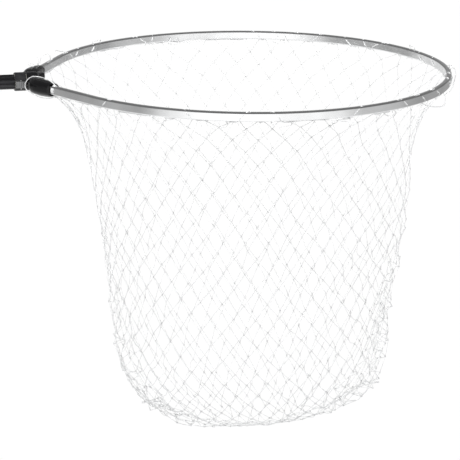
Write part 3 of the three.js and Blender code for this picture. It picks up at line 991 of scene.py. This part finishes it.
def bar_lines(knots, bars):
    """Each bar as a line that bows where it is slack."""
    flat = knots.reshape(-1, 3)
    a, b, offset, length = bars
    start = flat[a] + offset
    gap = flat[b] - start
    dist = np.linalg.norm(gap, axis=1, keepdims=True)
    along = gap / dist
    slack = np.clip(length[:, None] - dist, 0.04 * MM, 6 * MM)
    bow = np.sqrt(0.375 * dist * slack) * 0.8
    bow = np.clip(bow, 0, 3.2 * MM) * rng.uniform(0.4, 1.0, (len(a), 1))
    swing = rng.normal(0, 1, (len(a), 3)) + [0, 0, -0.9]
    swing = unit(swing - along * np.sum(swing * along, 1, keepdims=True))
    second = rng.normal(0, 0.25, (len(a), 1)) * bow
    shares = np.array([0.0, 0.25, 0.5, 0.75, 1.0])
    lift = np.array([0.0, 0.75, 1.0, 0.75, 0.0])
    twist = np.array([0.0, 1.0, 0.0, -1.0, 0.0])
    control = (
        start[:, None]
        + gap[:, None] * shares[:, None]
        + swing[:, None] * (bow * lift + second * twist)[:, :, None]
    )
    return np.einsum("kc,ncx->nkx", spline_weights(5, 7), control)


# One knot, in strand radii: the upper mesh's bight, and the lower line that goes up through it,
# round behind and down under itself. x is across, y up and z out of the net.
BIGHT = np.array([(-1.7, 1.6, 0), (-1.6, -1.2, 0), (0, -2.7, 0.2), (1.6, -1.2, 0), (1.7, 1.6, 0)])
HITCH = np.array(
    [
        (-1.2, -1.6, -1.1), (-0.2, 0.2, 0.7), (1.4, 1.2, 2.0), (3.0, 0.9, 0.1), (1.4, 1.0, -2.0),
        (-1.4, 0.8, -2.0), (-3.0, 0.5, 0.1), (-1.0, -0.2, 2.1), (1.0, -1.8, 1.4),
    ]
)


def knot_strands(knots, lines, rows):
    """The two strands of each knot in the given rows, whose ends follow the bars."""
    bars = lines.reshape(ROWS, COLUMNS, 2, lines.shape[1], 3)
    bights, hitches = [], []
    reach = 7.5 * NET_RADIUS * KNOT_SIZE
    for row in rows:
        for column in range(COLUMNS):
            centre = knots[row, column]
            down_a = bars[row, column, 0][1] - centre
            down_b = bars[row, column, 1][1] - centre
            up_a = bars[row - 1, column, 0][-2] - centre
            source = (column + 1) % COLUMNS if row % 2 == 1 else (column - 1) % COLUMNS
            up_b = bars[row - 1, source, 1][-2] - centre
            across = knots[row, (column + 1) % COLUMNS] - knots[row, column - 1]
            up = unit(up_a) + unit(up_b) - unit(down_a) - unit(down_b)
            ex = unit(across)
            ez = unit(np.cross(ex, unit(up)))
            ey = np.cross(ez, ex)
            if np.dot(up_a - up_b, ex) > 0:
                up_a, up_b = up_b, up_a
            if np.dot(down_a - down_b, ex) > 0:
                down_a, down_b = down_b, down_a
            axes = np.stack([ex, ey, ez]) * NET_RADIUS * KNOT_SIZE
            turn = 1 if (row + column) % 2 else -1
            hitch = HITCH * [turn, 1, 1]
            ends = (down_a, down_b) if turn > 0 else (down_b, down_a)
            bights.append(
                np.concatenate(
                    [
                        [centre + unit(up_a) * reach],
                        centre + BIGHT @ axes,
                        [centre + unit(up_b) * reach],
                    ]
                )
            )
            hitches.append(
                np.concatenate(
                    [
                        [centre + unit(ends[0]) * reach],
                        centre + hitch @ axes,
                        [centre + unit(ends[1]) * reach],
                    ]
                )
            )
    return np.array(bights), np.array(hitches)


def make_net(knots, bars):
    lines = bar_lines(knots, bars)
    per_row = 2 * COLUMNS
    # Each bar is trimmed to where its knots' strands take over.
    trimmed = lines.copy()
    for end, inside in ((0, 1), (-1, -2)):
        gap = lines[:, inside] - lines[:, end]
        trimmed[:, end] = lines[:, end] + unit(gap) * 6.0 * NET_RADIUS * KNOT_SIZE
    trimmed[:per_row, 0] = lines[:per_row, 0]
    panels = (("upper", 0, 8), ("middle", 8, 15), ("lower", 15, 22), ("bottom", 22, ROWS))
    for name, first, last in panels:
        parts = [sweep(trimmed[first * per_row : last * per_row], NET_RADIUS, 5)]
        rows = range(max(first, 1), last)
        bights, hitches = knot_strands(knots, lines, rows)
        bights = np.einsum("kc,ncx->nkx", spline_weights(7, 11), bights)
        hitches = np.einsum("kc,ncx->nkx", spline_weights(11, 19), hitches)
        parts.append(sweep(bights, NET_RADIUS, 5))
        parts.append(sweep(hitches, NET_RADIUS, 5))
        piece = mesh_object("net_" + name, *join_parts(parts), net_line)
        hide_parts("net_bag")
        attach(piece, "head")


def ring_round(centre, axis, radius, turns, pitch, steps):
    """A small coil round a line."""
    axis = unit(np.asarray(axis, float))
    across = unit(np.cross(axis, [0.3, 0.2, 1.0]))
    other = np.cross(axis, across)
    t = np.linspace(0, 1, int(steps * turns) + 1)[:, None]
    a = 2 * np.pi * turns * t
    return centre + radius * (across * np.cos(a) + other * np.sin(a)) + axis * pitch * (t - 0.5)


def lacing(places):
    """One line wound round the hoop and through the top meshes, from the front arm's mouth to
    the back arm's and on under the yoke. Also the bights of the top meshes round it."""
    hung = sorted((s, index) for index, (_, _, s) in enumerate(places) if s is not None)
    clear = LACE_RADIUS + 0.08 * MM

    def wound(s, turn, lift):
        point, out = hoop_frame(s)
        n_off, z = oval(turn, clear + lift)
        return point + out * n_off + np.array([0, 0, z])

    keys = []
    for k in range(17):  # close turns that lock the line at the front arm's mouth
        keys.append(wound((0.6 + 0.3 * k) * MM, 0.25 * k, 0))
    turn = 4
    for order, (s, index) in enumerate(hung):
        keys.append(places[index][0] + np.array([0, 0, -0.2 * MM]))
        following = hung[order + 1][0] if order + 1 < len(hung) else HOOP_RUN - 6 * MM
        middle, half = (s + following) / 2, (following - s) / 2
        way = rng.choice([1, -1, 0], p=[0.33, 0.27, 0.4])
        lean = rng.uniform(0.3, 0.62) * half
        if way:
            for share, offset in ((0.25, -lean), (0.5, 0), (0.75, lean)):
                keys.append(wound(middle + offset, turn + way * share, 0))
            turn += way
        else:
            dip = rng.uniform(0.1, 1.2) * MM
            keys.append(wound(middle, turn + rng.uniform(-0.12, 0.12), dip))
    for k in range(9):
        keys.append(wound(HOOP_RUN - (5 - 0.42 * k) * MM, turn + 0.25 * k, 0))
    for share in (0.06, 0.2, 0.35, 0.5, 0.65, 0.8, 0.94):
        keys.append(under_yoke(share))
    keys.append(hoop_frame(3 * MM)[0] + np.array([0, 0, -8.2 * MM]))
    line = smooth_curve(keys, 7)
    parts = [sweep(line[None], LACE_RADIUS, 8)]
    for bight in slack_bights(wound) + loose_loops():
        parts.append(sweep(smooth_curve(bight, 8)[None], 0.9 * LACE_RADIUS, 7))
    for point, reach, _ in places:
        over = np.array([0, 0, LACE_RADIUS + NET_RADIUS])
        bight = [point - reach, point - 0.55 * reach + over, point + 0.55 * reach + over]
        bight.append(point + reach)
        parts.append(sweep(smooth_curve(bight, 5)[None], NET_RADIUS, 6))
    piece = mesh_object("lacing", *join_parts(parts), lace_line)
    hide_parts("net_lacing")
    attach(piece, "head")
    return float(np.linalg.norm(np.diff(line, axis=0), axis=1).sum())


def slack_bights(wound):
    """Loose bights of the lacing that stand out from the hoop: where, which way and how far."""
    bights = []
    for degrees, turn, size, width in (
        (-143, 0.0, 6, 16), (-128, 0.02, 7, 14), (-112, 0.0, 8, 21), (-95, 0.0, 5.5, 21),
        (-78, 0.05, 4, 16), (-62, 0.0, 6, 18), (-8, 0.3, 4, 12), (18, 0.45, 4, 10),
        (66, 0.9, 4, 16), (100, 0.93, 3.5, 14), (128, 0.45, 3, 12),
    ):
        s = hoop_distance(math.radians(degrees))
        reach, half = size * MM, width * MM / 2
        bights.append(
            [
                wound(s - half, turn - 0.16, 0.6 * MM),
                wound(s - 1.15 * half, turn, 0.45 * reach),
                wound(s - 0.5 * half, turn + 0.05, 0.95 * reach),
                wound(s + 0.3 * half, turn + 0.03, reach),
                wound(s + 1.1 * half, turn - 0.02, 0.6 * reach),
                wound(s + 0.9 * half, turn - 0.1, 0.2 * reach),
                wound(s + 0.6 * half, turn - 0.2, 0.6 * MM),
            ]
        )
    return bights


def loose_loops():
    """Loops of line left standing at the yoke and at the far end of the hoop."""
    around_front_arm = [
        (-252.5, -59.5, 6.2), (-254.6, -57.0, 8.6), (-258.6, -51.3, 11.3), (-264.2, -42.7, 12.5),
        (-269.4, -34.1, 12.4), (-273.5, -29.0, 11.7), (-277.3, -25.5, 9.8), (-280.9, -21.5, 5.3),
        (-282.8, -19.3, 0.0), (-282.2, -21.0, -4.7), (-278.6, -24.9, -7.6), (-274.4, -30.4, -9.8),
        (-268.2, -38.8, -11.8), (-262.0, -47.2, -11.9), (-255.8, -55.5, -9.8),
        (-250.9, -63.0, -6.2),
    ]
    under_front_arm = [
        (-275.0, -20.5, -9.6), (-268.0, -32.0, -10.6), (-261.0, -44.0, -10.2),
        (-255.0, -55.0, -8.8), (-250.2, -64.5, -6.3),
    ]
    over_back_arm = [
        (-253.0, 59.0, 6.4), (-252.4, 62.0, 9.5), (-250.6, 62.0, 15.6), (-248.0, 62.0, 19.3),
        (-242.9, 62.0, 20.3), (-239.2, 63.0, 17.4), (-238.0, 68.0, 11.0), (-240.5, 76.0, 6.4),
    ]
    end_over_arm = [
        (-253.6, 58.0, 6.4), (-255.6, 55.5, 9.0), (-254.2, 55.0, 12.0), (-254.8, 55.0, 15.8),
        (-256.6, 55.0, 17.8),
    ]
    curl = [
        (-260.0, 44.0, 8.2), (-264.1, 40.0, 9.5), (-268.4, 40.0, 11.8), (-269.6, 40.0, 13.2),
        (-266.4, 40.0, 14.4), (-263.6, 40.0, 12.4), (-264.5, 41.0, 9.6), (-258.0, 48.0, 8.0),
    ]
    behind_rail = [
        (-233.0, 91.0, 6.3), (-230.0, 93.0, 12.0), (-226.5, 100.0, 16.5), (-221.8, 116.0, 13.5),
        (-216.0, 127.0, 10.5), (-207.0, 141.0, 6.4),
    ]
    far_end = [
        (249.0, -38.0, 6.2), (254.0, -32.5, 5.0), (258.5, -30.0, 1.5), (262.5, -30.0, -1.3),
        (263.5, -30.0, -9.7), (261.8, -30.0, -17.4), (259.4, -30.0, -25.1), (255.0, -31.0, -30.0),
        (248.0, -35.0, -32.0),
    ]
    under_far_rail = [
        (166.0, -187.0, -6.2), (178.0, -172.0, -13.0), (193.0, -155.0, -19.0),
        (207.0, -142.0, -22.0), (214.0, -134.0, -20.0), (215.0, -130.0, -13.0),
        (211.0, -133.0, -6.2),
    ]
    middle = np.array([HOOP_X, 0, 0])
    loops = (
        around_front_arm,
        under_front_arm,
        over_back_arm,
        end_over_arm,
        curl,
        behind_rail,
        far_end,
        under_far_rail,
    )
    return [middle + np.array(loop) * MM for loop in loops]


def seam(knots):
    """The gathered bottom: a line drawn through the last row, whipped and knotted."""
    last = knots[-1]
    across = (last[:, 0] - HOOP_X) * math.cos(BAG_TURN) - last[:, 1] * math.sin(BAG_TURN)
    path = last[np.argsort(across)]
    drawn = smooth_curve(path[::2] + rng.normal(0, 0.6 * MM, path[::2].shape), 6)
    back = smooth_curve(path[1::2] + rng.normal(0, 0.9 * MM, path[1::2].shape), 6)
    parts = [sweep(line[None], 0.7 * LACE_RADIUS, 6) for line in (drawn, back)]
    for k in range(len(path)):
        point = path[k]
        axis = path[min(k + 1, len(path) - 1)] - path[max(k - 1, 0)]
        coil = ring_round(point, axis, 1.0 * MM, 1.6, 1.4 * MM, 12)
        parts.append(sweep(coil[None], NET_RADIUS, 5))
    for end in (path[0], path[-1]):
        axis = path[-1] - path[0]
        coil = ring_round(end, axis, 1.1 * MM, 2.5, 2.4 * MM, 14)
        parts.append(sweep(coil[None], 0.7 * LACE_RADIUS, 6))
    piece = mesh_object("bottom_seam", *join_parts(parts), lace_line)
    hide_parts("bottom_tie")
    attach(piece, "head")


places = hoop_attachments()
top = np.array([place[0] for place in places])
bars = net_bars(top, np.array([place[1] for place in places]))
knots = net_knots(top, bars)
make_net(knots, bars)
lacing_length = lacing(places)
seam(knots)


# ---------------------------------------------------------------- camera, floor and light
CAMERA_AZIMUTH = -13.706  # degrees, from straight in front
CAMERA_ELEVATION = 15.883
CAMERA_ROLL = 0.47
CAMERA_DISTANCE = 2.6927


def camera():
    data = bpy.data.cameras.new("camera")
    data.sensor_width = 36
    data.lens = 168.7
    data.clip_end = 60
    made = bpy.data.objects.new("camera", data)
    bpy.context.scene.collection.objects.link(made)
    target = Vector((HOOP_X - 0.0328, -0.0476, -0.1899))
    angles = (CAMERA_AZIMUTH, CAMERA_ELEVATION, CAMERA_ROLL)
    azimuth, elevation, roll = (math.radians(a) for a in angles)
    back = Vector(
        (
            math.sin(azimuth) * math.cos(elevation),
            -math.cos(azimuth) * math.cos(elevation),
            math.sin(elevation),
        )
    )
    made.location = target + back * CAMERA_DISTANCE
    made.rotation_mode = "QUATERNION"
    turn = Matrix.Rotation(roll, 3, "Z").to_quaternion()
    made.rotation_quaternion = (-back).to_track_quat("-Z", "Y") @ turn
    bpy.context.scene.camera = made


# What a surface mirrors from each side: direction from the camera's own, half width, softness
# of its edge (degrees), and brightness over that of the plain walls.
PANELS = (
    (4, 50, 14, 0.7), (-8, 20, 12, 0.2), (76, 12, 10, 0.22), (-76, 9, 8, 0.1),
    (-160, 34, 10, 0.42),
)
WALLS = 0.36
CEILING = 0.16


class Studio:
    """Node helpers shared by the floor and the world."""

    def __init__(self, tree):
        self.tree = tree
        tree.nodes.clear()

    def node(self, kind, **values):
        made = self.tree.nodes.new(kind)
        for key, value in values.items():
            setattr(made, key, value)
        return made

    def maths(self, kind, operation, a, b):
        made = self.node(kind, operation=operation)
        for socket, value in zip(made.inputs, (a, b)):
            if isinstance(value, bpy.types.NodeSocket):
                self.tree.links.new(value, socket)
            else:
                socket.default_value = value
        return made.outputs["Value" if operation in ("ADD", "MAXIMUM", "DOT_PRODUCT") else "Vector"]

    def ramp(self, value, low, high, to_low, to_high):
        made = self.node("ShaderNodeMapRange", interpolation_type="SMOOTHSTEP")
        for socket, number in zip(list(made.inputs)[1:5], (low, high, to_low, to_high)):
            if isinstance(number, bpy.types.NodeSocket):
                self.tree.links.new(number, socket)
            else:
                socket.default_value = number
        self.tree.links.new(value, made.inputs["Value"])
        return made.outputs["Result"]

    def glow(self, direction):
        """Brightness of the studio in a level direction."""
        flat = self.maths("ShaderNodeVectorMath", "MULTIPLY", direction, (1, 1, 0))
        flat = self.maths("ShaderNodeVectorMath", "NORMALIZE", flat, (0, 0, 0))
        total = None
        for azimuth, half, soft, extra in PANELS:
            a = math.radians(azimuth + CAMERA_AZIMUTH)
            aim = (math.sin(a), -math.cos(a), 0)
            near = self.maths("ShaderNodeVectorMath", "DOT_PRODUCT", flat, aim)
            edges = [math.cos(math.radians(half + side * soft)) for side in (1, -1)]
            part = self.ramp(near, *edges, 0.0, extra)
            total = self.maths("ShaderNodeMath", "ADD", part, total if total else WALLS)
        return total

    def seen_or(self, mirrored, seen):
        """One brightness where the camera sees it, also through clear line, and another where a
        surface mirrors it."""
        path = self.node("ShaderNodeLightPath")
        direct = self.maths(
            "ShaderNodeMath",
            "MAXIMUM",
            path.outputs["Is Camera Ray"],
            path.outputs["Is Transmission Ray"],
        )
        choice = self.node("ShaderNodeMix")
        self.tree.links.new(direct, choice.inputs["Factor"])
        self.tree.links.new(mirrored, choice.inputs["A"])
        choice.inputs["B"].default_value = seen
        return choice.outputs["Result"]


def studio():
    floor_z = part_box("bottom_tie")[0].z - 30 * MM
    half = 14.0
    corners = [(-half, -half), (half, -half), (half, half), (-half, half)]
    floor = mesh_object("floor", [(x, y, floor_z) for x, y in corners], [[0, 1, 2, 3]])
    material = bpy.data.materials.new("light_table")
    material.use_nodes = True
    made = Studio(material.node_tree)
    place = made.node("ShaderNodeNewGeometry").outputs["Position"]
    offset = made.maths("ShaderNodeVectorMath", "SUBTRACT", place, (HOOP_X, 0, floor_z))
    distance = made.node("ShaderNodeVectorMath", operation="LENGTH")
    made.tree.links.new(offset, distance.inputs[0])
    lit = made.ramp(distance.outputs["Value"], 0.5, 1.3, 1.0, made.glow(offset))
    shade = made.node("ShaderNodeEmission")
    made.tree.links.new(made.seen_or(lit, 1.01), shade.inputs["Strength"])
    out = made.node("ShaderNodeOutputMaterial")
    made.tree.links.new(shade.outputs["Emission"], out.inputs["Surface"])
    floor.data.materials.append(material)

    world = bpy.data.worlds.new("studio")
    bpy.context.scene.world = world
    world.use_nodes = True
    made = Studio(world.node_tree)
    direction = made.node("ShaderNodeTexCoord").outputs["Generated"]
    split = made.node("ShaderNodeSeparateXYZ")
    made.tree.links.new(direction, split.inputs[0])
    lit = made.ramp(split.outputs["Z"], 0.03, 0.25, made.glow(direction), CEILING)
    shade = made.node("ShaderNodeBackground")
    made.tree.links.new(made.seen_or(lit, 1.01), shade.inputs["Strength"])
    shade.inputs["Color"].default_value = (1, 1, 1, 1)
    out = made.node("ShaderNodeOutputWorld")
    made.tree.links.new(shade.outputs[0], out.inputs[0])

    # Soft lamps, too diffuse to be mirrored. The last one hangs over the hoop and lights the
    # inside of the bag's far wall.
    for name, azimuth, elevation, distance, power, size, aim in (
        ("key", -52, 36, 2.6, 55, 0.9, (0, 0, -0.15)),
        ("fill", 44, 30, 2.8, 43, 1.1, (0, 0, -0.15)),
        ("top", -12, 62, 0.64, 2.2, 0.5, (0, 0.2, -0.2)),
    ):
        lamp = bpy.data.lights.new(name, "AREA")
        lamp.energy = power
        lamp.size = size
        holder = bpy.data.objects.new(name, lamp)
        a, e = math.radians(azimuth), math.radians(elevation)
        away = Vector((math.sin(a) * math.cos(e), -math.cos(a) * math.cos(e), math.sin(e)))
        holder.location = Vector((HOOP_X, 0, 0)) + Vector(aim) + away * distance
        holder.rotation_mode = "QUATERNION"
        holder.rotation_quaternion = (-away).to_track_quat("-Z", "Y")
        holder.visible_glossy = False
        bpy.context.scene.collection.objects.link(holder)
    bpy.context.scene.view_settings.view_transform = "Standard"


camera()
studio()
